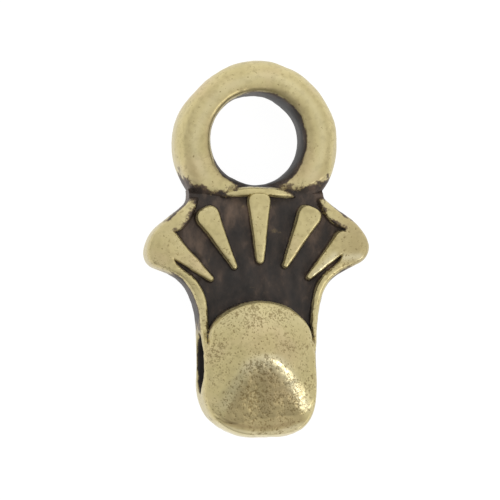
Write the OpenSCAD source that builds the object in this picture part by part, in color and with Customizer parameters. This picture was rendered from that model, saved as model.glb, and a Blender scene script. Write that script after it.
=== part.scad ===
// Bead end cap: one small casting with a hanging loop, a shell fan and a drilled bead block.
// It lies on its flat back. +Z is the decorated front, and +Y runs from the block to the loop.
// The origin is on the back face, under the middle of the outline.

/* [Overall] */
// Length of the cap, from the foot of the block to the top of the loop
cap_len = 15.02; // [14.6:0.02:15.4]
// Width across the two lobes of the fan
fan_w = 8.94; // [8.6:0.02:9.4]

/* [Loop] */
// Outer diameter of the loop
loop_d = 6.56; // [6.4:0.02:6.7]
// Diameter of the hole through the loop
loop_hole_d = 3.6; // [3.4:0.05:3.7]
// Thickness of the loop, back to front
loop_t = 2.6; // [2.4:0.05:2.7]
// Rounding of the loop's edges
loop_round = 0.55; // [0.3:0.05:0.6]

/* [Fan] */
// Height of the fan's rim above the back face
rim_z = 2.9; // [2.8:0.05:3]
// Height of the recess floor between the rays
floor_z = 2.4; // [2.3:0.05:2.5]
// Height of the crest of the rays
ray_z = 3.05; // [2.95:0.05:3.15]

/* [Bead block] */
// Width of the block
block_w = 4.66; // [4.56:0.02:4.8]
// Height of the block's upright sides above the back face
side_z = 2.6; // [2.5:0.05:2.8]
// Height of the peak, where the three front faces meet
peak_z = 4.42; // [4.36:0.02:4.6]
// Diameter of the hole that runs through the block from side to side
bore_d = 2.4; // [2.2:0.05:2.5]
// Height of that hole's axis above the back face
bore_z = 2.1; // [2.05:0.05:2.2]
// Distance from the foot of the block up to that hole's axis
bore_up = 2.95; // [2.85:0.05:3.05]

/* [Hidden] */

foot_y = -cap_len / 2;
loop_y = cap_len / 2 - loop_d / 2;
bore_y = foot_y + bore_up;
half_w = fan_w / 2;
block_half = block_w / 2;
overshoot = 1;

// The loop's hole sits a little nearer to the top, and its wall is drilled out of a narrower ring
hole_y = loop_y + 0.06;
drill_stock = 0.3;

// Length of the neck above the side hole's axis
neck_len = 2.4;

// Rays: how far they start below the recess floor, and the upright stretch of head and tip
ray_sink = 0.3;
head_wall = 0.4;
tip_wall = 0.5;

// Block's peak, the feet of its ridges and its lower lip: place, height and rounding radius
peak_up = 3.2;
peak_r = 0.3;
ridge_x = 1.55;
ridge_up = 1.2;
ridge_z = 3.55;
ridge_r = 0.35;
lip_x = 0.8;
lip_up = 0.5;
lip_z = 3.1;
lip_r = 0.4;

// Fan's outline, top to bottom. Columns: share of the half width, height above the foot
EDGE = [
    [0.150, 9.92], [0.330, 9.78], [0.480, 9.62], [0.600, 9.44], [0.665, 9.22], [0.740, 8.94],
    [0.845, 8.57], [0.930, 8.17], [0.985, 7.76], [1.000, 7.44], [0.988, 7.22], [0.948, 6.98],
    [0.870, 6.74], [0.770, 6.53], [0.700, 6.34], [0.640, 6.06], [0.603, 5.74], [0.558, 5.27],
    [0.538, 4.84], [0.526, 4.30]
];

// Dark recess inside the rim, top to bottom. Columns: distance from the middle, height above the foot
HOLLOW = [
    [0.95, 9.45], [1.60, 9.30], [2.40, 9.20], [2.66, 8.78], [3.02, 8.35], [3.60, 8.16],
    [3.46, 7.60], [3.36, 7.04], [2.99, 6.68], [2.68, 6.40], [2.43, 6.16], [2.25, 5.88],
    [2.10, 5.38], [2.05, 4.40]
];

// Rays. Columns: head x, head height, tip x, tip height, head radius, tip radius, drop of the crest
HEAD_X = 0;
HEAD_UP = 1;
TIP_X = 2;
TIP_UP = 3;
HEAD_R = 4;
TIP_R = 5;
DROP = 6;
RAYS = [
    [-3.35, 7.62, -1.98, 6.32, 0.46, 0.14, 0.08],
    [-1.98, 8.73, -1.01, 6.80, 0.47, 0.12, 0],
    [0.00, 9.29, 0.00, 7.04, 0.45, 0.18, 0.08],
    [1.98, 8.73, 1.01, 6.80, 0.47, 0.12, 0],
    [3.35, 7.62, 1.98, 6.32, 0.46, 0.14, 0.08]
];

// Foot of the block: a rounded end between a flat and a half circle
FOOT_POWER = 2.85;
foot_depth = 2.21;
FOOT_STEPS = 24;

// Arch at the top of the block
arch_rx = 2.12;
arch_ry = 1.6;
arch_up = 3.85;
arch_z = 3.1;

function mirrored(rows) = concat(
    [for (row = rows) [row[0], row[1]]],
    [for (i = [len(rows) - 1:-1:0]) [-rows[i][0], rows[i][1]]]
);

function foot_point(angle) = [
    block_half * sign(cos(angle)) * pow(abs(cos(angle)), 2 / FOOT_POWER),
    foot_y + foot_depth - foot_depth * pow(sin(angle), 2 / FOOT_POWER)
];

module loop() {
    color("#c5b78a")
    translate([0, loop_y, 0])
    rotate_extrude($fn = 96)
    loop_section();
}

// Half of a ring's section, a bar with its four edges rounded; the hole itself is drilled later
module loop_section() {
    inner = loop_hole_d / 2 - drill_stock;
    outer = loop_d / 2;
    translate([inner, loop_round]) square([outer - inner, loop_t - 2 * loop_round]);
    translate([inner, 0]) square([outer - inner - loop_round, loop_t]);
    for (z = [loop_round, loop_t - loop_round])
        translate([outer - loop_round, z]) circle(r = loop_round, $fn = 48);
}

module fan() {
    color("#b9aa79")
    linear_extrude(height = rim_z)
    polygon([for (p = mirrored(EDGE)) [p[0] * half_w, foot_y + p[1]]]);
}

module neck() {
    color("#8c7d5e")
    translate([-block_half, bore_y, 0])
    cube([block_w, neck_len, side_z]);
}

module hollow() {
    translate([0, 0, floor_z])
    linear_extrude(height = overshoot + loop_t)
    polygon([for (p = mirrored(HOLLOW)) [p[0], foot_y + p[1]]]);
}

// One ray: a drop-shaped ridge that narrows towards the middle of the fan
module ray(row) {
    crest = ray_z - row[DROP];
    color("#c9b98b")
    hull() {
        translate([row[HEAD_X], foot_y + row[HEAD_UP], crest - row[HEAD_R]])
            sphere(r = row[HEAD_R], $fn = 24);
        translate([row[HEAD_X], foot_y + row[HEAD_UP], floor_z - ray_sink])
            cylinder(r = row[HEAD_R], h = head_wall, $fn = 24);
        translate([row[TIP_X], foot_y + row[TIP_UP], floor_z - ray_sink])
            cylinder(r = row[TIP_R], h = tip_wall, $fn = 24);
    }
}

// The block: upright sides, an arch at the top and a peak with two ridges that run down and out
module block() {
    color("#bfb083")
    hull() {
        linear_extrude(height = side_z)
            polygon([for (i = [0:FOOT_STEPS]) foot_point(180 * i / FOOT_STEPS)]);
        translate([0, foot_y + arch_up, 0])
            scale([arch_rx, arch_ry, 1]) cylinder(r = 1, h = arch_z, $fn = 32);
        translate([0, foot_y + peak_up, peak_z - peak_r]) sphere(r = peak_r, $fn = 32);
        for (side = [-1, 1]) {
            translate([side * ridge_x, foot_y + ridge_up, ridge_z - ridge_r])
                sphere(r = ridge_r, $fn = 32);
            translate([side * lip_x, foot_y + lip_up, lip_z - lip_r]) sphere(r = lip_r, $fn = 32);
        }
    }
}

module loop_bore() {
    translate([0, hole_y, -overshoot])
    cylinder(d = loop_hole_d, h = loop_t + 2 * overshoot, $fn = 96);
}

module block_bore() {
    translate([-half_w - overshoot, bore_y, bore_z])
    rotate([0, 90, 0])
    cylinder(d = bore_d, h = fan_w + 2 * overshoot, $fn = 96);
}

module end_cap() {
    difference() {
        union() {
            difference() {
                union() {
                    loop();
                    fan();
                    neck();
                }
                hollow();
            }
            for (row = RAYS) ray(row);
            block();
        }
        loop_bore();
        block_bore();
    }
}

end_cap();
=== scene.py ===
import math

import bmesh
import bpy
import numpy as np
from mathutils import Matrix, Vector


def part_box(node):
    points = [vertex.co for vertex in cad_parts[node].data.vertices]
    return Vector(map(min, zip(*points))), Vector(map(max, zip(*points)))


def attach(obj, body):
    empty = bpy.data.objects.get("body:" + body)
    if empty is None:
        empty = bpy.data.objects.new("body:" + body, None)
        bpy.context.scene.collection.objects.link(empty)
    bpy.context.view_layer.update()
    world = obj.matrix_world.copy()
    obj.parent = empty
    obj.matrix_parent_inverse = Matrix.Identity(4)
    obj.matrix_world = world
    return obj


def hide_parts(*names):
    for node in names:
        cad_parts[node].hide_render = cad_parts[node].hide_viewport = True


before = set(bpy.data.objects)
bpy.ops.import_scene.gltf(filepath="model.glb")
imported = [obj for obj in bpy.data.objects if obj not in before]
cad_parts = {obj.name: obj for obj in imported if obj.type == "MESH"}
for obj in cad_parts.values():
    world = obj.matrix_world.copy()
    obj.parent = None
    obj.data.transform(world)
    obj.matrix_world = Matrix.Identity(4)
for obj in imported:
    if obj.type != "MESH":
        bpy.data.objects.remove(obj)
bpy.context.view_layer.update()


# Camera
# The cap lies on its back and is seen from above, a little from its left side and from below its
# foot. A long lens a hand's width away keeps the small casting almost free of perspective.

MM = 0.001
VIEW_WIDTH = 20.0
VIEW_DISTANCE = 130.0
SENSOR_WIDTH = 36.0
CLIP_NEAR = 5.0
CLIP_FAR = 5000.0
TILT_LEFT = math.radians(6.8)
TILT_DOWN = math.radians(1.5)
AIM = Vector((-0.19, -0.056, 1.3))

camera_data = bpy.data.cameras.new("studio_camera")
camera_data.sensor_width = SENSOR_WIDTH
camera_data.lens = SENSOR_WIDTH * VIEW_DISTANCE / VIEW_WIDTH
camera_data.clip_start = CLIP_NEAR * MM
camera_data.clip_end = CLIP_FAR * MM
camera = bpy.data.objects.new("studio_camera", camera_data)
bpy.context.scene.collection.objects.link(camera)
backward = Vector((-math.tan(TILT_LEFT), -math.tan(TILT_DOWN), 1.0)).normalized()
sideways = Vector((0, 1, 0)).cross(backward).normalized()
upward = backward.cross(sideways)
turned = Matrix((sideways, upward, backward)).transposed().to_4x4()
camera.matrix_world = Matrix.Translation((AIM + backward * VIEW_DISTANCE) * MM) @ turned
bpy.context.scene.camera = camera


# Loop
# A thick cast ring that a jump ring passes through. Its front is softly rounded and its hole has a
# tighter lip. Below the hole its arms end, and a narrow crescent joins the loop to the fan.

node_low, node_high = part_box("end_cap")
FOOT_Y = node_low.y / MM
TOP_Y = node_high.y / MM
FIELD_Z = 2.4

LOOP_RADIUS = 3.28
LOOP_Y = TOP_Y - LOOP_RADIUS
LOOP_THICK = 2.6
LOOP_CREST_SHARE = 0.42

# Flat on the loop's edge, at the upper left: depth, turn from straight below, reach in radians
FLAT_DEPTH = 0.14
FLAT_TURN = math.radians(226.0)
FLAT_REACH = 0.42

# The hole sits off the loop's centre, upward and toward the flat, where it is a little wider too
HOLE_RADIUS = 1.8
HOLE_RISE = 0.06
HOLE_Y = LOOP_Y + HOLE_RISE
HOLE_SHIFT = 0.055
HOLE_WIDER = 0.02
NEAR_FLAT = (0.2, 0.9)

# Powers of the superellipses, for the back and then for the front: a higher one is a tighter edge
BACK_HOLE_POWER = 3.2
BACK_EDGE_POWER = 6.0
HOLE_POWER = 3.0
HOLE_POWER_FLAT = 2.0
HOLE_POWER_FOOT = 2.5
EDGE_POWER = 2.2
EDGE_POWER_FOOT = 3.0

# Degrees from straight below the hole where the arms start and the lip and the edge grow tighter
ARM_TURNS = (22.0, 34.0)
LIP_TURNS = (40.0, 20.0)
EDGE_TURNS = (80.0, 55.0)

# Ends of the left and right arm. Columns: level, distance where it starts to rise, rise, power
ARM_ENDS = ((2.25, 1.6, 0.35, 1.6), (2.44, 1.9, 0.45, 1.3))
ARM_DROP = (-0.34, 0.12)
FAN_DIP = 0.7
FAN_DIP_Y = (2.13, 1.75)

# Crescent: middle line and its bend, half length, half thickness, height, how far its ends sink
CRESCENT_Y = 2.235
CRESCENT_BEND = 0.105
CRESCENT_HALF = 1.62
CRESCENT_THICK = 0.18
CRESCENT_Z = 2.82
CRESCENT_SINK = 0.7
CRESCENT_WALL = (-0.09, 0.07)

LOOP_STEPS = 220
LOOP_FRONT = 50
LOOP_BACK = 18
MERGE_DISTANCE = 1e-8


def step(low, high, value):
    """Smooth step: 0 at low, 1 at high, level past both, and 3t^2 - 2t^3 between them."""
    t = np.clip((value - low) / (high - low), 0.0, 1.0)
    return t * t * (3.0 - 2.0 * t)


def bell(distance, reach):
    """Bell over a distance: exp(-(distance/reach)^2)."""
    return np.exp(-((distance / reach) ** 2))


def bulge(u, power):
    """Quarter of a superellipse: height (1 - |u|^n)^(1/n) over a share u of the half width."""
    return (1.0 - np.clip(np.abs(u), 0.0, 1.0) ** power) ** (1.0 / power)


def crescent_depth(x, y):
    """How deep a point lies inside the crescent below the hole: its half thickness, which narrows
    to the ends as 1 - (x/half)^4, less the distance to its middle line, which bends down as x^2."""
    middle = CRESCENT_Y - CRESCENT_BEND * x**2
    end = np.clip(1.0 - (x / CRESCENT_HALF) ** 4, 0.0, 1.0)
    return CRESCENT_THICK * end - np.abs(y - middle)


def arm_end(x):
    """Height at which the loop's bright front ends: level beside the hole, then rising as a power
    of the distance outward, sooner on the left arm than on the right one."""
    left, right = [
        level + slope * np.clip(out - start, 0.0, None) ** power
        for out, (level, start, slope, power) in zip((-x, x), ARM_ENDS)
    ]
    return np.where(x < 0.0, left, right)


def turn_from_foot(x, y):
    """Angle round the hole in degrees, 0 straight below it and 180 straight above it."""
    return np.degrees(np.arctan2(np.abs(x), HOLE_Y - y))


def loop_surface():
    """Closed tube round the hole. At each angle the front runs from the hole's wall to the outer
    edge over two superellipse quarters with one crest, and the flat back runs home again. The
    edge is a circle less a bell at the flat, and the hole's radius gains the cosine of the angle
    from the flat times HOLE_SHIFT, which moves the hole that way."""
    angle = np.linspace(0.0, 2.0 * np.pi, LOOP_STEPS, endpoint=False)[:, None]
    toward = np.stack([np.sin(angle), -np.cos(angle)], axis=-1)
    along = (HOLE_Y - LOOP_Y) * toward[..., 1]
    outer = -along + np.sqrt(along**2 - (HOLE_Y - LOOP_Y) ** 2 + LOOP_RADIUS**2)
    outer -= FLAT_DEPTH * bell(angle - FLAT_TURN, FLAT_REACH)
    by_flat = step(*NEAR_FLAT, np.cos(angle - FLAT_TURN))
    inner = HOLE_RADIUS + HOLE_SHIFT * np.cos(angle - FLAT_TURN) + HOLE_WIDER * by_flat
    crest = inner + LOOP_CREST_SHARE * (outer - inner)
    middle_z = LOOP_THICK / 2

    def across(count, front):
        share = 0.5 - 0.5 * np.cos(np.linspace(0.0, np.pi, count))[None, :]
        r = inner + share * (outer - inner)
        inside = r < crest
        u = (r - crest) / np.where(inside, crest - inner, outer - crest)
        x = r * toward[..., 0]
        y = HOLE_Y + r * toward[..., 1]
        if not front:
            power = np.where(inside, BACK_HOLE_POWER, BACK_EDGE_POWER)
            return x, y, middle_z * (1.0 - bulge(u, power))
        sunk = FIELD_Z - FAN_DIP * step(*FAN_DIP_Y, y)
        turn = turn_from_foot(x, y)
        arms = step(*ARM_TURNS, turn) * step(*ARM_DROP, y - arm_end(x))
        top = sunk + (LOOP_THICK - sunk) * arms
        level = 1.0 - CRESCENT_SINK * np.clip(np.abs(x) / CRESCENT_HALF, 0.0, 1.0) ** 2
        raised = step(*CRESCENT_WALL, crescent_depth(x, y))
        crescent = sunk + (CRESCENT_Z - sunk) * level * raised
        at_hole = HOLE_POWER + HOLE_POWER_FLAT * by_flat + HOLE_POWER_FOOT * step(*LIP_TURNS, turn)
        at_edge = EDGE_POWER + EDGE_POWER_FOOT * step(*EDGE_TURNS, turn)
        power = np.where(inside, at_hole, at_edge)
        return x, y, middle_z + (np.maximum(top, crescent) - middle_z) * bulge(u, power)

    front = np.stack(across(LOOP_FRONT, True), axis=-1)
    back = np.stack(across(LOOP_BACK, False), axis=-1)[:, -2:0:-1]
    return np.concatenate([front, back], axis=1)


def grid_mesh(name, points, closed):
    """Mesh of a grid of points in millimetres. Each row is a closed ring of points, and each row
    is joined to the next, and the last to the first if closed; else the end rows are filled."""
    rows, columns = points.shape[:2]
    index = np.arange(rows * columns).reshape(rows, columns)
    here = index if closed else index[:-1]
    below = np.roll(index, -1, axis=0) if closed else index[1:]
    quads = np.stack([here, np.roll(here, -1, 1), np.roll(below, -1, 1), below], axis=-1)
    faces = quads.reshape(-1, 4).tolist()
    if not closed:
        faces += [index[0][::-1].tolist(), index[-1].tolist()]
    mesh = bpy.data.meshes.new(name)
    mesh.from_pydata((points.reshape(-1, 3) * MM).tolist(), [], faces)
    work = bmesh.new()
    work.from_mesh(mesh)
    bmesh.ops.remove_doubles(work, verts=work.verts, dist=MERGE_DISTANCE)
    bmesh.ops.recalc_face_normals(work, faces=work.faces)
    work.to_mesh(mesh)
    work.free()
    piece = bpy.data.objects.new(name, mesh)
    bpy.context.scene.collection.objects.link(piece)
    return piece


loop = grid_mesh("loop", loop_surface(), closed=True)


# Fan, neck and block
# One run of the same casting: a shell of five raised rays in a sunken field, a waist with a low
# flange along each side, and a rounded block that rises to a peak over a three-cornered facet.

# Outline from the neck down. Columns: y, half width on the left, half width on the right
OUTLINE = np.array([
    [2.60, 2.78, 2.60], [2.10, 2.74, 2.60], [1.92, 2.76, 2.63], [1.72, 2.92, 2.93],
    [1.50, 3.18, 3.24], [1.30, 3.45, 3.51], [1.07, 3.73, 3.81], [0.86, 3.97, 4.02],
    [0.65, 4.16, 4.18], [0.45, 4.29, 4.30], [0.26, 4.38, 4.38], [0.05, 4.44, 4.43],
    [-0.13, 4.47, 4.41], [-0.31, 4.46, 4.34], [-0.46, 4.41, 4.24], [-0.60, 4.34, 4.08],
    [-0.72, 4.23, 3.86], [-0.80, 4.10, 3.64], [-0.90, 3.84, 3.46], [-1.02, 3.51, 3.21],
    [-1.20, 3.19, 2.98], [-1.37, 3.00, 2.82], [-1.53, 2.86, 2.70], [-1.76, 2.70, 2.59],
    [-2.20, 2.49, 2.47], [-2.60, 2.40, 2.40], [-3.20, 2.34, 2.34], [-4.20, 2.33, 2.28],
    [-5.30, 2.32, 2.29],
])
OUTLINE_ROUND = 0.12
OUTLINE_SAMPLES = 9
LEAST_HALF = 0.012

# Rounded foot: its depth, and the powers of its left and right half
FOOT_DEPTH = 2.21
FOOT_POWERS = (2.4, 3.05)

# Upper end of this part, and the corner inside the loop to which its outline is carried on
BODY_TOP_Y = 2.33
NECK_HALF = 2.7
NECK_TOP = 3.2

# Sunken field of the fan, counter-clockwise from its upper left corner. Columns: x, y
FIELD = np.array([
    [-2.36, 2.60], [-2.42, 1.80], [-2.62, 1.34], [-2.76, 1.07], [-2.98, 0.80], [-3.32, 0.61],
    [-3.61, 0.60], [-3.60, 0.54], [-3.50, 0.10], [-3.42, -0.52], [-3.02, -0.88], [-2.72, -1.08],
    [-2.46, -1.32], [-2.24, -1.66], [-2.07, -2.10], [-2.01, -2.60], [-2.02, -3.40], [-2.12, -3.95],
    [2.14, -3.80], [2.11, -3.40], [2.09, -2.80], [2.14, -2.16], [2.24, -1.60], [2.38, -1.30],
    [2.64, -1.00], [2.96, -0.73], [3.30, -0.42], [3.38, 0.30], [3.42, 0.68], [3.46, 0.77],
    [3.06, 0.88], [2.70, 1.20], [2.50, 1.58], [2.38, 1.90], [2.34, 2.60],
])
FIELD_ROUNDS = 2
CORNER_CUT = 0.25

# How the heights of field and rim change from place to place. Each has an amount and the steps
# that bound it: which way, where it is 0, and where it is 1. Out is away from the middle
CHANGES = {
    "floor between the rays": (0.10, [("y", -1.6, -0.4), ("y", 2.05, 1.5)]),
    "floor of the slots": (0.22, [("out", 2.1, 2.6), ("y", -0.1, -0.5), ("y", -1.6, -1.2)]),
    "floor of the corners": (0.34, [("out", 2.9, 3.55)]),
    "floor beside the arch": (0.75, [("y", -3.15, -3.85)]),
    "rim at the neck": (-0.10, [("y", 0.9, 1.9)]),
    "rim at the waist": (-0.22, [("y", -0.7, -2.4)]),
    "rim beside the block": (0.60, [("y", -3.10, -3.90)]),
    "rim below the loop": (1.0, [("y", 2.02, 1.86)]),
    "rounded shoulders": (0.045, [("out", 3.3, 2.8)]),
    "fall of the lobes": (-0.08, [("out", 2.4, 3.4)]),
    "dip under the loop": (-0.25, [("y", 2.11, 2.33)]),
}
RIM_Z = 2.96
RIPPLE = 0.008
RIPPLE_TURNS = (9.0, 2.0)

# Rays. Columns: head x, head y, head radius, tip x, tip y, tip radius, crest height
RAYS = np.array([
    [-3.59, 0.16, 0.475, -1.92, -1.22, 0.125, 2.96],
    [-2.00, 1.14, 0.470, -0.97, -0.75, 0.110, 3.04],
    [0.01, 1.75, 0.450, 0.05, -0.47, 0.180, 2.96],
    [1.96, 1.18, 0.475, 1.05, -0.68, 0.120, 3.04],
    [3.32, 0.23, 0.405, 2.01, -1.14, 0.130, 2.96],
])
RAY_TAPER = 0.85
RAY_BLUNT = 2.8
RAY_DROOP = 0.10
RAY_ROUND = 0.16
WALL_OUT = 0.055
WALL_IN = 0.045

# How far in the lobes fall, and the rounding of the outer edge
LOBE_FALL_REACH = 0.8
EDGE_ROUND = 0.16
EDGE_ROUND_POWER = 2.1

# Arch that ends the block above: half an oval of this half width and height over its centre
ARCH_X = 0.02
ARCH_Y = -3.90
ARCH_HALF = 2.12
ARCH_RISE = 1.81
ARCH_POWER = 2.2
ARCH_WIDEN_Y = (-3.7, -4.3)
ARCH_STEPS = 40
ARCH_GAP = 0.02

# Crown of the block: its edge and peak, how it climbs, and how it falls to foot, left and right
BLOCK_EDGE_Z = 3.45
PEAK_Z = 4.42
APEX_X = -0.08
APEX_Y = -4.42
CROWN_CLIMB = 1.8
CROWN_FALL = 0.14
CROWN_ROUND = 0.5
CROWN_SIDES = (0.30, 0.33)
CROWN_SIDE_EASE = 0.13

# Facet of the block: slope and hollow down to the foot, skew to the right, tilt to each side, cup
FACET_SLOPE = 0.50
FACET_HOLLOW = 0.015
FACET_SKEW = 0.12
FACET_TILTS = (0.05, 0.07)
FACET_CUP = 0.03

# Ridge between crown and facet: softness at the peak, and how much softer it grows, over what run
RIDGE_SOFT = 0.08
RIDGE_SOFTER = 0.30
RIDGE_RUN = 1.6

# Lip below the facet, then the rounding of the block's edge, tighter at the arch, wider at the foot
LIP_Z = 3.20
LIP_BEND = 0.04
LIP_SOFT = 0.05
BLOCK_ROUND = 0.24
BLOCK_ROUND_POWER = 2.6
ARCH_TIGHTER = 0.11
ARCH_TIGHT_Y = (-3.8, -3.1)
FOOT_ROUND_Y = (-6.3, -7.1)
FOOT_WIDER = 0.30
FOOT_SOFTER = 0.4

BODY_ROWS = 300
ROW_SAMPLES = 6000
ROW_SLANT = 0.7
FRONT_COLUMNS = 218
BACK_COLUMNS = 14
CORNER_STEPS = 11
BACK_CORNER_STEPS = 6
CORNER_WIDTH = 0.36
CORNER_SHARE = 0.9
BACK_REACH = 0.22
BACK_POWER = 2.8
BATCH = 4000
TINY = 1e-12


def half_widths(y):
    """Half widths of the outline at height y, left and right: straight lines between the knots
    with their corners rounded by a moving average, and below them the foot's superellipse."""
    offsets = np.linspace(-OUTLINE_ROUND, OUTLINE_ROUND, OUTLINE_SAMPLES)
    depth = np.clip((FOOT_Y + FOOT_DEPTH - y) / FOOT_DEPTH, 0.0, 1.0)
    knots = OUTLINE[::-1]
    sides = []
    for column, power in enumerate(FOOT_POWERS, start=1):
        side = np.mean([np.interp(y + o, knots[:, 0], knots[:, column]) for o in offsets], axis=0)
        sides.append(np.maximum(side * (1.0 - depth**power) ** (1.0 / power), LEAST_HALF))
    return sides


def even_rows():
    """Row heights from the neck to the foot, spaced evenly along the outline's length."""
    samples = np.linspace(0, np.pi, ROW_SAMPLES)
    y = FOOT_Y + (BODY_TOP_Y - FOOT_Y) * (0.5 + 0.5 * np.cos(samples))
    length = np.hypot(np.diff(y), ROW_SLANT * np.diff(sum(half_widths(y)) / 2))
    run = np.concatenate([[0.0], np.cumsum(length)])
    return np.interp(np.linspace(0.0, run[-1], BODY_ROWS), run, y)


def outline_path():
    """Outline as a path from the upper left corner round the foot to the upper right corner."""
    y = even_rows()
    left, right = half_widths(y)
    path = np.concatenate([np.stack([-left, y], 1), np.stack([right, y], 1)[::-1]])
    return np.concatenate([[[-NECK_HALF, NECK_TOP]], path, [[NECK_HALF, NECK_TOP]]])


def block_sides(y):
    """Left and right edge of the block's own outline: the arch, half width times the square root
    of 1 - (height/rise)^n, which widens at its foot to the casting's sides."""
    left, right = half_widths(y)
    half = ARCH_HALF * np.sqrt(1.0 - np.clip((y - ARCH_Y) / ARCH_RISE, 0.0, 1.0) ** ARCH_POWER)
    widen = step(*ARCH_WIDEN_Y, y)
    low = ARCH_X - half
    high = ARCH_X + half
    return low + (-left - low) * widen, high + (right - high) * widen


def block_path():
    """Outline of the block as a closed path: the arch's steps are even in angle."""
    arch = ARCH_Y + ARCH_RISE * np.cos(np.linspace(0.0, np.pi / 2, ARCH_STEPS))
    rows = even_rows()
    y = np.concatenate([arch, rows[rows < ARCH_Y - ARCH_GAP]])
    left, right = block_sides(y)
    return np.concatenate([np.stack([left, y], 1), np.stack([right, y], 1)[::-1]])


def smooth_path(corners, rounds):
    """Closed path with its corners cut at a quarter of each side, a number of times over."""
    path = corners
    for _ in range(rounds):
        after = np.roll(path, -1, axis=0)
        near_start = (1.0 - CORNER_CUT) * path + CORNER_CUT * after
        near_end = CORNER_CUT * path + (1.0 - CORNER_CUT) * after
        path = np.stack([near_start, near_end], 1).reshape(-1, 2)
    return path


def path_distance(x, y, path):
    """Least distance from each point to any of the straight stretches of a path, worked out for a
    batch of points at a time."""
    start = path[:-1].astype(np.float32)
    run = np.diff(path, axis=0).astype(np.float32)
    square = np.maximum((run**2).sum(-1), TINY)
    flat = np.stack([x.ravel(), y.ravel()], axis=-1).astype(np.float32)
    found = []
    for batch in np.array_split(flat, max(1, len(flat) // BATCH)):
        away_x = batch[:, None, 0] - start[None, :, 0]
        away_y = batch[:, None, 1] - start[None, :, 1]
        share = np.clip((away_x * run[:, 0] + away_y * run[:, 1]) / square, 0.0, 1.0)
        gap = (away_x - share * run[:, 0]) ** 2 + (away_y - share * run[:, 1]) ** 2
        found.append(np.sqrt(gap.min(axis=1)))
    return np.concatenate(found).reshape(x.shape).astype(float)


def inside_path(x, y, path):
    """True where a point is inside a closed path: the path crosses its row an odd number of times
    to its right."""
    crossings = np.zeros(x.shape, int)
    for (ax, ay), (bx, by) in zip(path, np.roll(path, -1, axis=0)):
        spans = (ay > y) != (by > y)
        rise = by - ay if by != ay else 1.0
        crossings += spans & (x < ax + (y - ay) * (bx - ax) / rise)
    return crossings % 2 == 1


def field_depth(x, y):
    """How deep a point lies inside the sunken field, negative outside it."""
    path = smooth_path(FIELD, FIELD_ROUNDS)
    distance = path_distance(x, y, np.concatenate([path, path[:1]]))
    return np.where(inside_path(x, y, path), distance, -distance)


def ray_depth(x, y, ray):
    """How deep a point lies inside a ray's outline: the radius there, which narrows from head to
    tip, less the distance to the ray's middle line. Past the head the distance is a superellipse's,
    (past^n + across^n)^(1/n), so that the head is blunt. The share of the length comes with it."""
    head, head_radius, tip, tip_radius = ray[0:2], ray[2], ray[3:5], ray[5]
    run = tip - head
    length = np.hypot(*run)
    along = ((x - head[0]) * run[0] + (y - head[1]) * run[1]) / length
    across = np.abs((x - head[0]) * run[1] - (y - head[1]) * run[0]) / length
    past = np.maximum(-along, 0.0) + np.maximum(along - length, 0.0)
    power = np.where(along < 0.0, RAY_BLUNT, 2.0)
    distance = (past**power + across**power) ** (1.0 / power)
    share = np.clip(along / length, 0.0, 1.0)
    return head_radius + share**RAY_TAPER * (tip_radius - head_radius) - distance, share


def blend_low(first, second, soft):
    """Lower of two heights, with their meeting line rounded over a height of soft."""
    share = np.clip(0.5 + 0.5 * (second - first) / soft, 0.0, 1.0)
    return second + (first - second) * share - soft * share * (1.0 - share)


def crown_and_facet(x, y):
    """Two surfaces of the block's front: a crown that climbs from the arch to the peak, then
    falls to the foot and the sides, and an almost flat facet that slopes from the peak to the
    foot. The crown's sides fall as x^2/(1 + ease x^2)."""
    arch_top = ARCH_Y + ARCH_RISE
    climb = np.clip((arch_top - y) / (arch_top - APEX_Y), 0.0, 1.0)
    spine = BLOCK_EDGE_Z + (PEAK_Z - BLOCK_EDGE_Z) * (1.0 - (1.0 - climb) ** CROWN_CLIMB)
    down = APEX_Y - y
    past = np.clip(down, 0.0, None)
    fall = CROWN_FALL * (np.sqrt(past**2 + CROWN_ROUND**2) - CROWN_ROUND)
    side_fall = np.where(x < 0.0, *CROWN_SIDES)
    crown = spine - fall - side_fall * x**2 / (1.0 + CROWN_SIDE_EASE * x**2)
    across = x - APEX_X - FACET_SKEW * down
    tilt = np.where(across < 0.0, *FACET_TILTS)
    facet = PEAK_Z - FACET_SLOPE * down + FACET_HOLLOW * down**2
    return crown, facet - tilt * across + FACET_CUP * across**2


def block_height(x, y, inset):
    """Block's front: the lower of crown and facet with a ridge that softens towards the foot, a
    low lip past the facet, and its outer edge rounded down to the upright walls."""
    crown, facet = crown_and_facet(x, y)
    soft = RIDGE_SOFT + RIDGE_SOFTER * step(0.0, RIDGE_RUN, APEX_Y - y)
    lip = LIP_Z - LIP_BEND * x**2
    front = -blend_low(-blend_low(crown, facet, soft), -lip, LIP_SOFT)
    foot = step(*FOOT_ROUND_Y, y)
    reach = BLOCK_ROUND - ARCH_TIGHTER * step(*ARCH_TIGHT_Y, y) + FOOT_WIDER * foot
    power = BLOCK_ROUND_POWER - FOOT_SOFTER * foot
    return FIELD_Z + (front - FIELD_Z) * bulge(1.0 - np.clip(inset / reach, 0.0, 1.0), power)


def bounded(place, x, y):
    """Amount of a place at a point: its full amount times the smooth steps that bound it."""
    amount, bounds = place
    ways = {"x": x, "y": y, "out": np.abs(x), "left": -x}
    for way, zero, one in bounds:
        amount = amount * step(zero, one, ways[way])
    return amount


def rim_level(x, y):
    """Height of the rim, the lobes and the flanges: lower at the neck and along the waist, then
    climbing to the side of the block."""
    level = RIM_Z
    for name in ("rim at the neck", "rim at the waist", "rim beside the block"):
        level = level + bounded(CHANGES[name], x, y)
    return level


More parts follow.
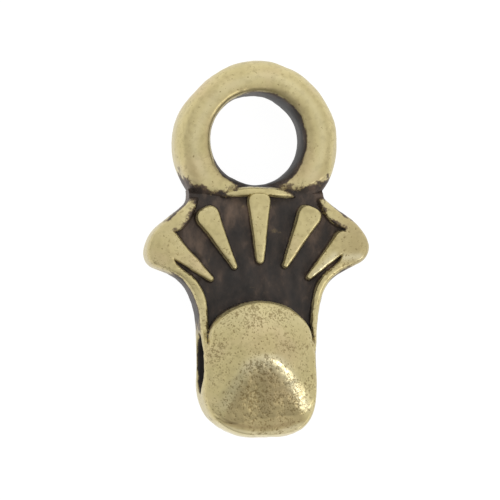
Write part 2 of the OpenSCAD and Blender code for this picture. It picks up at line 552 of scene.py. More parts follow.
def field_floor(x, y):
    """Height of the sunken field: a little higher between the rays, shallow in the lobes' corners
    and in the slots below the outer rays, and climbing in the two gaps between the arch and the
    flanges, over the side hole."""
    between_rays, slots, corners, by_arch = [
        bounded(CHANGES["floor " + name], x, y)
        for name in ("between the rays", "of the slots", "of the corners", "beside the arch")
    ]
    return FIELD_Z + between_rays + np.maximum(slots, corners) + by_arch


def body_front(x, y, inset, block_inset):
    """Front height of the fan, neck and block: rim, lobes and flanges round the sunken field, the
    rays and the block above it, and the outer edge rounded down to the upright wall. The edges of
    rays and rim have shoulders, which drop by (1 - depth/RAY_ROUND)^2 before they turn down, but
    not on the lobes, where a ray runs out of the rim without a seam. The lobes fall away gently to
    their outer edge, and the top end dips so that the loop covers it."""
    field = field_floor(x, y) + RIPPLE * np.cos(RIPPLE_TURNS[0] * x + RIPPLE_TURNS[1] * y)
    sunken = field_depth(x, y)
    shoulder = bounded(CHANGES["rounded shoulders"], x, y)
    level = rim_level(x, y) - shoulder * (1.0 - np.clip(-sunken / RAY_ROUND, 0.0, 1.0)) ** 2
    raised = step(WALL_OUT, -WALL_IN, sunken) * bounded(CHANGES["rim below the loop"], x, y)
    height = field + (level - field) * raised
    for ray in RAYS:
        depth, share = ray_depth(x, y, ray)
        drop = shoulder * (1.0 - np.clip(depth / RAY_ROUND, 0.0, 1.0)) ** 2
        crest = ray[6] - drop - RAY_DROOP * share**3
        height = np.maximum(height, field + (crest - field) * step(-WALL_OUT, WALL_IN, depth))
    near_edge = 1.0 - np.clip(inset / LOBE_FALL_REACH, 0.0, 1.0)
    height += bounded(CHANGES["fall of the lobes"], x, y) * near_edge**2
    edge = bulge(1.0 - np.clip(inset / EDGE_ROUND, 0.0, 1.0), EDGE_ROUND_POWER)
    height = FIELD_Z + (height - FIELD_Z) * edge + bounded(CHANGES["dip under the loop"], x, y)
    left, right = block_sides(y)
    covered = (x > left) & (x < right) & (y < ARCH_Y + ARCH_RISE)
    return np.maximum(height, np.where(covered, block_height(x, y, block_inset), 0.0))


def body_surface():
    """Closed sections across the casting, one for each row from the neck to the foot: the front
    from left to right, then the back from right to left. Both meet at the outline, where the walls
    stand upright, and the back's edge is rounded a little."""
    y = even_rows()
    left, right = half_widths(y)

    def across(columns, steps):
        turn = np.linspace(0.0, np.pi / 2, steps + 1)[:-1]
        ends = []
        for half in (left, right):
            slanted = CORNER_WIDTH * np.sqrt(1.0 + np.gradient(half, y) ** 2)
            corner = np.minimum(slanted, CORNER_SHARE * half)
            end = half[:, None] - corner[:, None] * (1.0 - np.cos(turn[::-1]))[None, :]
            ends.append((half - corner, end))
        share = np.linspace(0.0, 1.0, columns)[None, :]
        middle = -ends[0][0][:, None] * (1.0 - share) + ends[1][0][:, None] * share
        x = np.concatenate([-ends[0][1][:, ::-1], middle, ends[1][1]], axis=1)
        return x, np.repeat(y[:, None], x.shape[1], axis=1)

    edge = outline_path()
    fx, fy = across(FRONT_COLUMNS, CORNER_STEPS)
    inset = path_distance(fx, fy, edge)
    block_inset = path_distance(fx, fy, block_path())
    front = np.stack([fx, fy, body_front(fx, fy, inset, block_inset)], axis=-1)

    bx, by = across(BACK_COLUMNS, BACK_CORNER_STEPS)
    back_inset = np.clip(path_distance(bx, by, edge) / BACK_REACH, 0.0, 1.0)
    bz = FIELD_Z * (1.0 - bulge(1.0 - back_inset, BACK_POWER))
    back = np.stack([bx, by, bz], axis=-1)[:, ::-1]
    return np.concatenate([front, back[:, 1:-1]], axis=1)


body = grid_mesh("fan_and_block", body_surface(), closed=False)


# Side hole
# A cord or wire goes through the block from side to side. The hole is drilled after the parts of
# the casting are joined, and each mouth is eased a little.

BORE_RADIUS = 1.2
BORE_Y = FOOT_Y + 2.95
BORE_Z = 2.1
BORE_STEPS = 96
BAR_HALF = 3.0
MOUTH_LEFT = (-2.36, -2.14)
MOUTH_RIGHT = (2.10, 2.32)
MOUTH_RINGS = 7
MOUTH_EASE = 0.05
MOUTH_START = 2.16
MOUTH_RUN = 0.15


def bore_surface():
    """Round bar along X: a circle carried from left to right, whose radius grows by the square of
    the way out through each mouth."""
    mouths = [np.linspace(*mouth, MOUTH_RINGS) for mouth in (MOUTH_LEFT, MOUTH_RIGHT)]
    x = np.concatenate([[-BAR_HALF], *mouths, [BAR_HALF]])
    radius = BORE_RADIUS + MOUTH_EASE * np.clip((np.abs(x) - MOUTH_START) / MOUTH_RUN, 0.0, 1.0) ** 2
    turn = np.linspace(0.0, 2.0 * np.pi, BORE_STEPS, endpoint=False)
    ring_y = BORE_Y + radius[:, None] * np.cos(turn)[None, :]
    ring_z = BORE_Z + radius[:, None] * np.sin(turn)[None, :]
    return np.stack([np.broadcast_to(x[:, None], ring_y.shape), ring_y, ring_z], axis=-1)


def cut_or_join(piece, other, operation):
    """Applies a Boolean with the other piece, then deletes the other piece."""
    change = piece.modifiers.new(operation.lower(), "BOOLEAN")
    change.operation = operation
    change.solver = "MANIFOLD"
    change.object = other
    shown = piece.evaluated_get(bpy.context.evaluated_depsgraph_get())
    mesh = bpy.data.meshes.new_from_object(shown)
    piece.modifiers.clear()
    piece.data = mesh
    bpy.data.objects.remove(other)


casting = body
casting.name = "end_cap_casting"
cut_or_join(casting, loop, "UNION")
cut_or_join(casting, grid_mesh("bore", bore_surface(), closed=False), "DIFFERENCE")


# Casting skin
# Cast metal is never quite even: its faces wander by hundredths of a millimetre, and fine pits are
# left all over the block and, more thinly, over the loop and the fan. The back stays flat.

rng = np.random.default_rng(7)

# Waves: how many, their height, and the shortest and longest of the broad and the fine ones
WAVES = 14
WAVE_HEIGHT = 0.014
BROAD_WAVES = (0.7, 2.6)
FINE_WAVES = (0.16, 0.4)
FINE_SHARE = 0.2
FLAT_BACK_Z = (0.1, 0.6)

# Pits: how many, their radii, the power that keeps most of them small, and depth per radius
PIT_COUNT = 1250
PIT_SMALL = 0.017
PIT_LARGE = 0.043
PIT_SIZES = 2.5
PIT_DEPTH = 0.22
PIT_REACH = 3.0

# Where the pits are: the front by height and slope, thin on the fan, a little thicker on the loop,
# and in clusters on the block
FRONT_Z = (2.3, 2.7)
FRONT_SLOPE = (0.3, 0.6)
BLOCK_TOP_Y = (-1.9, -2.4)
PITS_OFF_BLOCK = 0.03
PITS_ON_LOOP = 1.1
LOOP_FOOT_Y = 2.3
PITS_AT_LEAST = 1e-6
CLUSTER_WAVES = (0.5, 1.4)
CLUSTER_STEP = (-0.8, 1.2)
CLUSTER_LEAST = 0.5
CROWD_LEAST = 0.12
CROWD_RANGE = 0.88

# Where the block's pits crowd together. Columns: x, y, reach along x, reach along y
CROWDS = np.array([
    [-0.70, -2.85, 1.20, 0.50], [0.60, -2.80, 0.90, 0.45], [-1.70, -4.10, 0.50, 0.95],
    [-0.05, -5.60, 1.15, 1.15], [1.95, -5.30, 0.40, 0.60], [1.30, -5.60, 0.45, 0.80],
])
SHARP_EDGE = math.radians(48.0)


def waves(place, shortest, longest):
    """Sum of plane waves in seeded directions, each between the two lengths in millimetres, over
    the square root of their number."""
    total = np.zeros(len(place))
    for _ in range(WAVES):
        direction = rng.normal(size=3)
        direction *= 2.0 * np.pi / rng.uniform(shortest, longest) / np.linalg.norm(direction)
        total += np.sin(place @ direction + rng.uniform(0.0, 2.0 * np.pi))
    return total / np.sqrt(WAVES)


def crowding(x, y):
    """How crowded the pits are: the highest of the bells exp(-(dx/rx)^2 - (dy/ry)^2)."""
    bells = [np.exp(-(((x - cx) / rx) ** 2) - ((y - cy) / ry) ** 2) for cx, cy, rx, ry in CROWDS]
    return np.max(bells, axis=0)


def pits(place, weight):
    """Pits at seeded points of the surface, drawn by weight. A pit is a bell, exp(-(d/r)^2), and
    the deepest one counts. The depth comes first, then the bell itself."""
    centres = place[rng.choice(len(place), PIT_COUNT, replace=False, p=weight / weight.sum())]
    radii = PIT_SMALL + (PIT_LARGE - PIT_SMALL) * rng.random(PIT_COUNT) ** PIT_SIZES
    shapes = np.zeros(len(place))
    depths = np.zeros(len(place))
    for centre, radius in zip(centres, radii):
        near = np.abs(place - centre).max(axis=1) < PIT_REACH * radius
        shape = np.exp(-((place[near] - centre) ** 2).sum(axis=1) / radius**2)
        shapes[near] = np.maximum(shapes[near], shape)
        depths[near] = np.maximum(depths[near], PIT_DEPTH * radius * shape)
    return depths, shapes


def vertex_values(piece, name):
    """Coordinates or normals of a piece's vertices, one row each."""
    values = np.zeros(len(piece.data.vertices) * 3, np.float32)
    piece.data.vertices.foreach_get(name, values)
    return values.reshape(-1, 3).astype(float)


place = vertex_values(casting, "co") / MM
normal = vertex_values(casting, "normal")
x, y, z = place.T
on_front = step(*FRONT_Z, z) * step(*FRONT_SLOPE, normal[:, 2])
on_block = step(*BLOCK_TOP_Y, y)
spacing = np.where(y > LOOP_FOOT_Y, PITS_ON_LOOP, 1.0)
crowded = CROWD_LEAST + CROWD_RANGE * crowding(x, y)
clusters = crowded * (CLUSTER_LEAST + step(*CLUSTER_STEP, waves(place, *CLUSTER_WAVES)))
pit_weight = on_front * (PITS_OFF_BLOCK + on_block * clusters) * spacing + PITS_AT_LEAST
pit_depth, pit_shape = pits(place, pit_weight)
uneven = WAVE_HEIGHT * waves(place, *BROAD_WAVES)
uneven = uneven + FINE_SHARE * WAVE_HEIGHT * waves(place, *FINE_WAVES)
lifted = place + normal * (uneven * step(*FLAT_BACK_Z, z) - pit_depth)[:, None]
lifted[:, 2] = np.maximum(lifted[:, 2], 0.0)
casting.data.vertices.foreach_set("co", (lifted * MM).astype(np.float32).ravel())
casting.data.update()
casting.data.shade_smooth()
casting.data.set_sharp_from_angle(angle=SHARP_EDGE)


# Antique brass finish
# The casting was darkened all over and then tumbled bright: the patina stays in the field, on the
# walls of the rays, in the holes and round the neck, and thins to olive where it meets the brass.

# Polish is 0 for full patina and 1 for brass. Each pair says where it is 0 and where it is 1.
# Outer walls: middle value and range, then by distance out, by y, by inset, and below the rim
WALL_POLISH = 0.45
WALL_RANGE = 0.55
LOBE_END = (3.5, 4.1)
BLOCK_WALL_Y = (-3.2, -4.0)
WALL_BAND = (0.20, 0.12)
BELOW_RIM = (0.18, 0.04)

# Fan's tops by their share of the rim's height and by inset, their end below the loop but for the
# middle ray, and the shoulders' fade by distance from the field, longer on the left
TOPS_RELIEF = (0.30, 0.66)
TOPS_INSET = (-0.02, 0.06)
MIDDLE_RAY_HALF = 0.6
BELOW_LOOP_Y = (2.06, 1.70)
SHOULDER_X = 2.3
SHOULDER_Y = 0.3
SHOULDER_START = -0.04
SHOULDER_FADES = (0.30, 0.20)
SHOULDER_FOOT_Y = (0.9, 0.3)

# Loop: the lip's radius and its fade, a wider lip on the right, another at the foot, the arms'
# ends, the flanks by height and by y, and the crescent
LIP_RADIUS = 1.84
LIP_FADE = 0.12
LIP_WIDER = 0.06
LIP_WIDER_X = (-1.0, 1.5)
LOW_LIP = (1.96, 2.08)
LOW_LIP_Y = (3.7, 2.9)
ARM_FADE = (-0.22, 0.22)
FLANK_Z = (1.5, 2.0)
FLANK_Y = (2.7, 3.3)
CRESCENT_FADE = (-0.10, 0.12)
CRESCENT_END = (1.65, 0.75)
CRESCENT_MORE = 1.2
CRESCENT_MORE_X = (0.9, 0.6)
CRESCENT_FOOT = (0.02, 0.22)
LOOP_FROM_Y = 1.9
LOOP_ONLY_Y = 2.2

# Block: its walls by height, the arch by distance from its edge, and how far down that counts
BLOCK_POLISH = 0.90
BLOCK_RANGE = 0.20
BLOCK_WALL_Z = (0.8, 2.0)
ARCH_FADE = (-0.02, 0.07)
ARCH_MORE = 2.0
ARCH_MORE_Y = (-3.75, -4.1)
ARCH_EDGE = 0.03
ARCH_DOWN = 0.3
BORE_FADE = 0.05
BORE_REACH = 2.4


def rise(low, high, value):
    """Straight line through 0 at low and 1 at high, not clipped, so it stays exact in a face."""
    return (value - low) / (high - low)


def wall_polish(x, y, z, inset):
    """Polish of the outer walls: high on the lobes' ends and beside the block, low at the neck and
    the waist, and rising to brass in a band below the rim."""
    reached = np.maximum(rise(*LOBE_END, np.abs(x)), rise(*BLOCK_WALL_Y, y))
    wall = WALL_POLISH + WALL_RANGE * np.clip(reached, -1.0, 1.0)
    rim = rim_level(x, y)
    below_rim = rise(rim - BELOW_RIM[0], rim - BELOW_RIM[1], z)
    return np.minimum(rise(*WALL_BAND, inset), np.maximum(wall, below_rim))


def fan_polish(x, y, z, inset, walls):
    """Polish of the fan: tops by their share of the height from field to rim, or the walls where
    those are brighter. It ends below the loop and fades to the field on both shoulders."""
    far = np.abs(x)
    field = field_floor(x, y)
    relief = (z - field) / (rim_level(x, y) - field)
    tops = np.minimum(rise(*TOPS_RELIEF, relief), rise(*TOPS_INSET, inset))
    fan = np.maximum(tops, walls)
    fan = np.where(far > MIDDLE_RAY_HALF, np.minimum(fan, rise(*BELOW_LOOP_Y, y)), fan)
    sunken = field_depth(x, y)
    fade = np.where(x < 0.0, *SHOULDER_FADES)
    shoulder = rise(SHOULDER_START, fade, -sunken) + rise(*SHOULDER_FOOT_Y, y).clip(0.0, 2.0)
    on_shoulders = (far > SHOULDER_X) & (y > SHOULDER_Y) & (sunken < 0.0)
    return np.where(on_shoulders, np.minimum(fan, shoulder), fan)


def loop_polish(x, y, z):
    """Polish of the loop: by the distance from the hole's middle, with the low lip blended in at
    the foot, ending at the arms and low on the flanks, or the crescent where that is brighter."""
    far = np.abs(x)
    around = np.hypot(x, y - HOLE_Y)
    low_lip = np.minimum(rise(*LOW_LIP, around), rise(*ARM_TURNS, turn_from_foot(x, y)))
    lip = LIP_RADIUS + LIP_WIDER * step(*LIP_WIDER_X, x)
    mouth = rise(lip, lip + LIP_FADE, around)
    mouth += (low_lip - mouth) * step(*LOW_LIP_Y, y)
    arms = rise(*ARM_FADE, y - arm_end(x))
    flank = np.maximum(rise(*FLANK_Z, z), rise(*FLANK_Y, y))
    ring = np.minimum(np.minimum(arms, flank), mouth)
    crescent = np.minimum(rise(*CRESCENT_FADE, crescent_depth(x, y)), rise(*CRESCENT_END, far))
    crescent += CRESCENT_MORE * step(*CRESCENT_MORE_X, far)
    raised = rise(FIELD_Z + CRESCENT_FOOT[0], FIELD_Z + CRESCENT_FOOT[1], z)
    return np.maximum(ring, np.minimum(crescent, raised))


def polished(x, y, z, inset):
    """How bright the tumbling left a point, below 0 for full patina and above 1 for brass: the
    loop above, the fan below it, then the block, bright but for the arch's wall, which is told by
    its distance from the arch in the plan. Last, the side hole is dark."""
    walls = wall_polish(x, y, z, inset)
    fan = fan_polish(x, y, z, inset, walls)
    ring = loop_polish(x, y, z)
    bright = np.where(y > LOOP_ONLY_Y, ring, np.maximum(fan, ring * (y > LOOP_FROM_Y)))

    left, right = block_sides(y)
    over_block = (x > left) & (x < right) & (y < ARCH_Y + ARCH_RISE)
    edge = path_distance(x, y, block_path())
    side = BLOCK_POLISH + BLOCK_RANGE * rise(*BLOCK_WALL_Z, z)
    arch = rise(*ARCH_FADE, np.where(over_block, edge, -edge)) + ARCH_MORE * step(*ARCH_MORE_Y, y)
    block = np.where(y > ARCH_Y - ARCH_DOWN, np.maximum(arch, walls), side)
    on_block = over_block | (edge < ARCH_EDGE) | (y < ARCH_Y - ARCH_DOWN)
    bright = np.where(on_block, block, bright)

    bore = rise(BORE_RADIUS, BORE_RADIUS + BORE_FADE, np.hypot(y - BORE_Y, z - BORE_Z))
    bright = np.where(np.abs(x) < BORE_REACH, np.minimum(bright, bore), bright)
    return np.clip(bright, -1.0, 2.0)


# Places that the finish treats in their own way. Each has a strength and the steps that bound it,
# as the changes of the fan's heights have. Left is away from the middle to the left
PLACES = {
    "rays' upper half": (1.0, [("y", 0.0, 1.5), ("y", 2.6, 1.3)]),
    "gap right of the middle ray": (1.0, [("x", 0.3, 0.7), ("x", 1.7, 1.1)]),
    "outer gaps": (0.6, [("out", 1.4, 2.1), ("y", -2.4, -0.8)]),
    "neck's left": (1.0, [("left", 2.0, 2.6), ("y", 1.7, 1.95)]),
    "left lobe": (0.2, [("left", 2.8, 3.8)]),
    "right lobe": (0.8, [("x", 2.6, 3.8)]),
    "shoulders": (1.0, [("y", 0.4, 1.2), ("out", 2.3, 2.6)]),
    "rays' tips": (0.45, [("y", 1.0, -0.3), ("y", -1.9, -1.4)]),
    "fan's upper end": (1.0, [("y", 1.3, 2.0)]),
    "loop's foot": (1.7, [("y", 2.45, 2.95)]),
    "loop": (1.0, [("y", 2.4, 3.0)]),
    "below the apex": (1.0, [("y", APEX_Y + 0.4, APEX_Y + 0.1)]),
    "right of the apex": (1.0, [("x", -0.6, 0.2)]),
    "near the apex": (0.6, [("y", -5.1, -4.6)]),
    "above the lip": (1.0, [("y", -6.6, -6.2)]),
    "line on the lip": (1.5, [("out", 1.8, 1.2)]),
    "lip": (0.6, [("out", 2.0, 1.4)]),
}

# Bands of painted highlight and painted shade, and of the darker line on the block's lip, each a
# bell. Columns: strength, middle, reach. The block's painted highlight on its top and its painted
# shade in the middle lie across y, and the loop's painted highlight on its crest and painted shade
# on its outer band lie round the hole
RIDGE_HIGHLIGHT_BAND = (1.0, 0.0, 0.16)
TOP_HIGHLIGHT_BAND = (0.25, -2.75, 0.5)
MIDDLE_SHADE_BAND = (0.55, -3.85, 0.55)
MIDDLE_SHADE_SIDES = (1.0, 0.7, 1.5)
LIP_BAND = (1.0, 0.0, 0.13)
CREST_HIGHLIGHT_BAND = (0.4, 2.58, 0.18)
OUTER_SHADE_BAND = (0.8, 2.90, 0.16)
SLOT_HIGHLIGHT_BAND = (0.9, 0.0, 0.13)

# Block: least and further painted highlight along the ridge lines, the border of the facet's painted
# shade, and the lip, which bends up, with its darker line and its painted highlight
RIDGE_LEAST = 0.35
RIDGE_RANGE = 0.65
FACET_BORDER = (0.02, 0.22)
LIP_LINE_Y = -7.10
LIP_LINE_BEND = 0.14
LIP_HIGHLIGHT_STEP = (-0.10, -0.22)

# Loop: at the upper left the painted highlight on the crest lies further in, and the painted shade
# on the slope to the hole is shorter
CREST_SHIFT = 0.18
CREST_SHIFT_AT = (0.6, 0.95)
SLOPE_OUTER = 2.45
SLOPE_INNER = 1.98
SLOPE_SHORTER = 0.2

# Two edges by the slot in the right lobe that get a painted highlight, each a line from x, y to x, y:
# the ray's lower edge and the lobe's lower edge
SLOT_EDGES = np.array([[[2.98, -0.30], [2.20, -1.06]], [[3.36, -0.38], [4.00, -0.34]]])

# Grain of the block: least and range by crowding, and what the ridge's painted highlight adds
GRAIN_LEAST = 0.35
GRAIN_RANGE = 0.65
GRAIN_RIDGE = 0.7
HOLE_WALL = 1.02


def within(name):
    """Strength at each vertex of one of the finish's places."""
    return bounded(PLACES[name], x, y)


def band(value, strength, middle, reach):
    """Band of wear: strength times the bell of the distance from its middle."""
    return strength * bell(value - middle, reach)


def point_attribute(name, values):
    """Stores one number a vertex for the finish to read."""
    attribute = casting.data.attributes.new(name, "FLOAT", "POINT")
    attribute.data.foreach_set("value", values.astype(np.float32))


# Painted highlight and painted shade on the block, and a darker line on its lip
crown, facet = crown_and_facet(x, y)
below_apex = within("below the apex") * on_front
by_apex = np.maximum(within("right of the apex"), within("near the apex"))
# Painted highlight along the facet's ridge lines, strongest near the apex and right of it
ridge_painted_highlight = band(facet - crown, *RIDGE_HIGHLIGHT_BAND) * below_apex
ridge_painted_highlight = ridge_painted_highlight * (RIDGE_LEAST + RIDGE_RANGE * by_apex) * within("above the lip")
# Painted shade in the middle of the block
middle_painted_shade = band(x, *MIDDLE_SHADE_SIDES) * band(y, *MIDDLE_SHADE_BAND)
# Painted highlight on the block's top
top_painted_highlight = band(y, *TOP_HIGHLIGHT_BAND) * on_block * on_front
# A darker line along the block's lip
over_lip = y - LIP_LINE_Y - LIP_LINE_BEND * x**2
lip_line = band(over_lip, *LIP_BAND) * within("line on the lip")
# Painted highlight on the lip
lip_painted_highlight = step(*LIP_HIGHLIGHT_STEP, over_lip) * within("lip") * on_block
# Painted shade on the facet
facet_painted_shade = step(*FACET_BORDER, crown - facet) * below_apex * (1.0 - lip_painted_highlight)

# Painted shade and painted highlight on the loop
on_loop = within("loop") * on_front
around = np.hypot(x, y - HOLE_Y)
upper_left = (y - HOLE_Y - x) / (math.sqrt(2.0) * around)
# Painted shade on the slope from the crest down to the hole
slope_outer = SLOPE_OUTER - SLOPE_SHORTER * np.maximum(upper_left, 0.0)
slope = step(slope_outer, SLOPE_INNER, around)
# Painted shade on the loop's outer band
outer_painted_shade = band(around, *OUTER_SHADE_BAND)
# Painted highlight on the loop's crest
crest = band(around + CREST_SHIFT * step(*CREST_SHIFT_AT, upper_left), *CREST_HIGHLIGHT_BAND)

# Painted shade on the lobes, and painted highlight along the edges by the slot
# Painted shade on the lobes
lobes = within("left lobe") + within("right lobe")
# Painted highlight along the two edges by the slot
slot_edges = [path_distance(x, y, line) for line in SLOT_EDGES]
slot_painted_highlight = band(np.min(slot_edges, axis=0), *SLOT_HIGHLIGHT_BAND) * on_front

# Patina: browner between the rays' heads, in the outer gaps and on the neck's left, and darkest in
# the holes. Its border is more ragged on the shoulders and at the fan's upper end
in_side_hole = np.hypot(y - BORE_Y, z - BORE_Z) / BORE_RADIUS
in_loop_hole = around / HOLE_RADIUS
in_hole = np.minimum(in_side_hole, in_loop_hole) < HOLE_WALL
between_rays = within("rays' upper half") * (1.0 - within("gap right of the middle ray"))
outside = np.maximum(within("neck's left"), within("outer gaps")) * (1.0 - in_hole)
ragged_ends = within("fan's upper end") * (1.0 - within("loop's foot"))

grain_on_block = on_block * (GRAIN_LEAST + GRAIN_RANGE * crowded) + GRAIN_RIDGE * ridge_painted_highlight
# Painted shade, with the lip's darker line, and painted highlights: the strongest mark of each
painted_shade_and_lip_line_marks = [facet_painted_shade, lobes, np.maximum(slope, outer_painted_shade) * on_loop, middle_painted_shade * on_block * on_front,
        lip_line * on_block]
bright = [ridge_painted_highlight, crest * on_loop, top_painted_highlight, lip_painted_highlight, slot_painted_highlight]
point_attribute("polish", polished(x, y, z, path_distance(x, y, outline_path())))
point_attribute("pit", pit_shape)
point_attribute("grain", np.maximum(within("rays' tips"), grain_on_block))
point_attribute("painted_shade_and_lip_line", np.max(painted_shade_and_lip_line_marks, axis=0))
point_attribute("painted_highlight_and_smoothing", np.max(bright, axis=0))
point_attribute("fringe", np.maximum(within("shoulders"), ragged_ends))
point_attribute("tone", np.where(in_hole, -1.0, np.maximum(between_rays, outside)))

# Colours, the ramps with the place of each colour
BRASS = [(0.30, (0.57, 0.49, 0.24)), (0.52, (0.63, 0.54, 0.275)), (0.72, (0.69, 0.60, 0.32))]
WARM_BRASS = (0.66, 0.52, 0.31)
SHADED_BRASS = (0.40, 0.33, 0.16)
# Brass painted darker for shade and for the lip's line, and painted lighter for highlights
PAINTED_SHADE_AND_LIP_LINE_BRASS = (0.36, 0.275, 0.135)
PAINTED_HIGHLIGHT_BRASS = (0.86, 0.78, 0.52)
DIRT = (0.185, 0.125, 0.042)
OLIVE = [(0.35, (0.140, 0.098, 0.052)), (0.65, (0.250, 0.185, 0.095))]
PATINA = [
    (0.26, (0.018, 0.015, 0.013)), (0.42, (0.032, 0.025, 0.021)),
    (0.56, (0.050, 0.036, 0.028)), (0.82, (0.150, 0.102, 0.072)),
]

# Noises. Columns: waves per metre, detail, roughness
NOISES = {
    "border": (2600.0, 5.0, 0.66),
    "mottle": (1100.0, 5.0, 0.62),
    "warmth": (420.0, 3.0, 0.5),
    "shade": (5200.0, 2.0, 0.5),
    "sprinkle": (8500.0, 3.0, 0.7),
    "patches": (1100.0, 3.0, 0.6),
    "pit edge": (12000.0, 2.0, 0.6),
    "streaks": (1900.0, 4.0, 0.62),
    "skin": (9000.0, 3.0, 0.6),
}
STREAK_SCALE = (1.0, 0.55, 1.0)

# Levels that a value is turned into: each stop is a value and its level. The last two are read at
# half the shine
LEVELS = {
    "warmth": [(0.52, 0.0), (0.66, 0.5)],
    "shade": [(0.34, 0.35), (0.50, 0.0)],
    "specks": [(0.0, 1.0), (0.07, 0.0)],
    "pits": [(0.0, 0.0), (0.45, 1.0)],
    "olive": [(0.22, 0.0), (0.46, 1.0)],
    "brass": [(0.44, 0.0), (0.66, 1.0)],
    "roughness": [(0.12, 0.55), (0.35, 0.40)],
    "metallic": [(0.12, 0.30), (0.30, 0.50), (0.75, 0.92)],
}

# Border: how ragged it is, and how much more so on the fringe. Then the shares of painted shade, with
# the lip's darker line, and of painted highlight, and how much smoother the surface is under the
# painted highlight
BORDER_RAGGED = 1.5
BORDER_MORE = 1.2
PAINTED_SHADE_AND_LIP_LINE_SHARE = 0.60
PAINTED_HIGHLIGHT_SHARE = 0.65
HIGHLIGHT_SMOOTHING = -0.12

# Specks: how dense, more in patches and in the grain. Then the pits' ragged edge, and how dark
SPECKS_DENSE = 0.120
SPECKS_PATCHES = 0.34
SPECKS_GRAIN = 0.115
SPECKS_DARK = 0.62
PITS_RAGGED = 1.1
PITS_START = -0.85
PITS_DARK = 0.70
TONE_SHARE = 0.17

# Bump of the fine skin: height in metres, strength, and how it grows with the grain and sinks in
# the specks
BUMP_HEIGHT = 6e-6
BUMP_STRENGTH = 0.55
SKIN_LEAST = 0.35
SKIN_GRAIN = 0.35
SKIN_SPECKS = -0.4


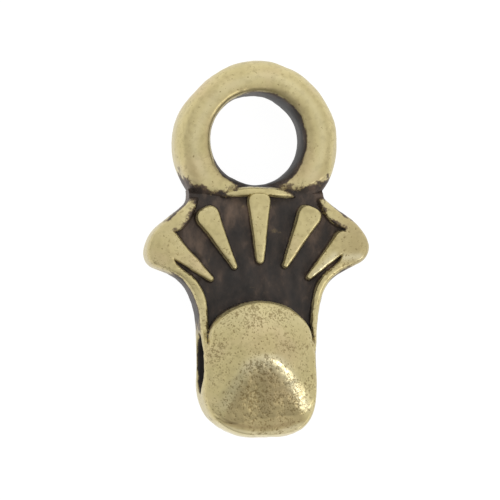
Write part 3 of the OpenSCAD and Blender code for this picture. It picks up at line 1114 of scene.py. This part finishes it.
def antique_brass():
    """Principled metal whose colour, roughness and metallic follow the polish attribute, broken
    up by noise so that the patina's border is ragged, with mottling, specks and fine pits."""
    material = bpy.data.materials.new("antique_brass")
    material.use_nodes = True
    nodes, links = material.node_tree.nodes, material.node_tree.links
    shader = nodes["Principled BSDF"]
    plain = nodes.new("ShaderNodeTexCoord").outputs["Object"]
    streaked = nodes.new("ShaderNodeMapping")
    streaked.inputs["Scale"].default_value = STREAK_SCALE
    links.new(plain, streaked.inputs["Vector"])

    def feed(socket, value):
        if isinstance(value, bpy.types.NodeSocket):
            links.new(value, socket)
        elif isinstance(value, tuple):
            socket.default_value = (*value, 1.0)
        else:
            socket.default_value = value

    def attribute(name):
        node = nodes.new("ShaderNodeAttribute")
        node.attribute_name = name
        return node.outputs["Fac"]

    def noise(name, place=plain):
        node = nodes.new("ShaderNodeTexNoise")
        for socket, value in zip(("Scale", "Detail", "Roughness"), NOISES[name]):
            node.inputs[socket].default_value = value
        links.new(place, node.inputs["Vector"])
        return node.outputs["Fac"]

    def maths(operation, *values):
        node = nodes.new("ShaderNodeMath")
        node.operation = operation
        for socket, value in zip(node.inputs, values):
            feed(socket, value)
        return node.outputs[0]

    def ramp(value, stops):
        node = nodes.new("ShaderNodeValToRGB")
        while len(node.color_ramp.elements) < len(stops):
            node.color_ramp.elements.new(0.5)
        for element, (position, colour) in zip(node.color_ramp.elements, stops):
            element.position = position
            element.color = (*colour, 1.0)
        links.new(value, node.inputs["Fac"])
        return node.outputs["Color"]

    def level(value, name):
        return ramp(value, [(position, (grey, grey, grey)) for position, grey in LEVELS[name]])

    def mix(share, first, second):
        # In colour mode a Mix node's share is input 0, its colours are inputs 6 and 7, and its
        # result is output 2
        node = nodes.new("ShaderNodeMix")
        node.data_type = "RGBA"
        for number, value in ((0, share), (6, first), (7, second)):
            feed(node.inputs[number], value)
        return node.outputs[2]

    ragged = maths("ADD", noise("border"), -0.5)
    reach = maths("MULTIPLY_ADD", attribute("fringe"), BORDER_MORE, BORDER_RAGGED)
    shine = maths("MULTIPLY_ADD", ragged, reach, attribute("polish"))
    grain = attribute("grain")
    painted_highlight_and_smoothing = attribute("painted_highlight_and_smoothing")

    mottle = noise("mottle")
    brass = ramp(mottle, BRASS)
    brass = mix(level(noise("warmth"), "warmth"), brass, WARM_BRASS)
    brass = mix(level(noise("shade"), "shade"), brass, SHADED_BRASS)
    # Painted shade and the lip's darker line, then painted highlights, in the brass's colour
    brass = mix(maths("MULTIPLY", attribute("painted_shade_and_lip_line"), PAINTED_SHADE_AND_LIP_LINE_SHARE), brass, PAINTED_SHADE_AND_LIP_LINE_BRASS)
    brass = mix(maths("MULTIPLY", painted_highlight_and_smoothing, PAINTED_HIGHLIGHT_SHARE), brass, PAINTED_HIGHLIGHT_BRASS)

    dense = maths("MULTIPLY_ADD", noise("patches"), SPECKS_PATCHES, SPECKS_DENSE)
    dense = maths("MULTIPLY_ADD", grain, SPECKS_GRAIN, dense)
    specks = level(maths("SUBTRACT", noise("sprinkle"), dense), "specks")
    pit = maths("ADD", attribute("pit"), PITS_START)
    pit = level(maths("MULTIPLY_ADD", noise("pit edge"), PITS_RAGGED, pit), "pits")
    dark_specks = maths("MULTIPLY", specks, SPECKS_DARK)
    dark_pits = maths("MULTIPLY", pit, PITS_DARK)
    brass = mix(maths("MAXIMUM", dark_specks, dark_pits), brass, DIRT)

    streaks = noise("streaks", streaked.outputs[0])
    patina = ramp(maths("MULTIPLY_ADD", attribute("tone"), TONE_SHARE, streaks), PATINA)
    aged = mix(level(shine, "olive"), patina, ramp(mottle, OLIVE))
    links.new(mix(level(shine, "brass"), aged, brass), shader.inputs["Base Color"])
    half_shine = maths("MULTIPLY", shine, 0.5)
    # Where the highlight is painted, the surface is also a little smoother
    roughness = maths("MULTIPLY_ADD", painted_highlight_and_smoothing, HIGHLIGHT_SMOOTHING, level(half_shine, "roughness"))
    links.new(roughness, shader.inputs["Roughness"])
    links.new(level(half_shine, "metallic"), shader.inputs["Metallic"])

    bump = nodes.new("ShaderNodeBump")
    bump.inputs["Strength"].default_value = BUMP_STRENGTH
    bump.inputs["Distance"].default_value = BUMP_HEIGHT
    skin = maths("MULTIPLY_ADD", grain, SKIN_GRAIN, SKIN_LEAST)
    skin = maths("MULTIPLY_ADD", noise("skin"), skin, maths("MULTIPLY", specks, SKIN_SPECKS))
    links.new(skin, bump.inputs["Height"])
    links.new(bump.outputs["Normal"], shader.inputs["Normal"])
    return material


casting.data.materials.clear()
casting.data.materials.append(antique_brass())
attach(casting, "root")
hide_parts("end_cap")


# Studio
# A plain white light table under a soft dome, which is brightest overhead and beyond the loop. A
# lamp at the lower right draws the highlight along the block's ridge, and a broad, weak one lights
# the cap from the left.

FLOOR_HALF = 400.0
FLOOR_Z = -0.02
FLOOR_GREY = 0.1
FLOOR_ROUGHNESS = 0.8
FLOOR_GLOW = 0.96

corners = ((-1, -1), (1, -1), (1, 1), (-1, 1))
floor_points = [(right * FLOOR_HALF * MM, up * FLOOR_HALF * MM, FLOOR_Z * MM) for right, up in corners]
floor_mesh = bpy.data.meshes.new("floor")
floor_mesh.from_pydata(floor_points, [], [(0, 1, 2, 3)])
floor = bpy.data.objects.new("floor", floor_mesh)
bpy.context.scene.collection.objects.link(floor)
white = bpy.data.materials.new("white_table")
white.use_nodes = True
table = white.node_tree.nodes["Principled BSDF"]
table.inputs["Base Color"].default_value = (FLOOR_GREY, FLOOR_GREY, FLOOR_GREY, 1)
table.inputs["Roughness"].default_value = FLOOR_ROUGHNESS
table.inputs["Emission Color"].default_value = (1, 1, 1, 1)
table.inputs["Emission Strength"].default_value = FLOOR_GLOW
floor_mesh.materials.append(white)

# The dome's strength is a constant plus this gradient times the direction in the sky
DOME_LEVEL = 0.62
DOME_GRADIENT = (0.11, 0.36, 0.22)
world = bpy.data.worlds.new("studio")
world.use_nodes = True
sky = world.node_tree.nodes["Background"]
sky.inputs["Color"].default_value = (1, 1, 1, 1)
direction = world.node_tree.nodes.new("ShaderNodeTexCoord")
toward = world.node_tree.nodes.new("ShaderNodeVectorMath")
toward.operation = "DOT_PRODUCT"
toward.inputs[1].default_value = DOME_GRADIENT
strength = world.node_tree.nodes.new("ShaderNodeMath")
strength.inputs[1].default_value = DOME_LEVEL
world.node_tree.links.new(direction.outputs["Generated"], toward.inputs[0])
world.node_tree.links.new(toward.outputs["Value"], strength.inputs[0])
world.node_tree.links.new(strength.outputs[0], sky.inputs["Strength"])
bpy.context.scene.world = world
bpy.context.scene.view_settings.view_transform = "Standard"

# Lamps. Columns: name, place, side length, power in watts
LAMPS = [
    ("ridge_softbox", (109.0, -92.0, 140.0), 70.0, 0.058),
    ("left_softbox", (-170.0, -50.0, 90.0), 130.0, 0.018),
]
for name, lamp_place, side_length, power in LAMPS:
    lamp_data = bpy.data.lights.new(name, "AREA")
    lamp_data.size = side_length * MM
    lamp_data.energy = power
    lamp = bpy.data.objects.new(name, lamp_data)
    lamp.location = Vector(lamp_place) * MM
    lamp.rotation_euler = (-lamp.location).to_track_quat("-Z", "Y").to_euler()
    bpy.context.scene.collection.objects.link(lamp)
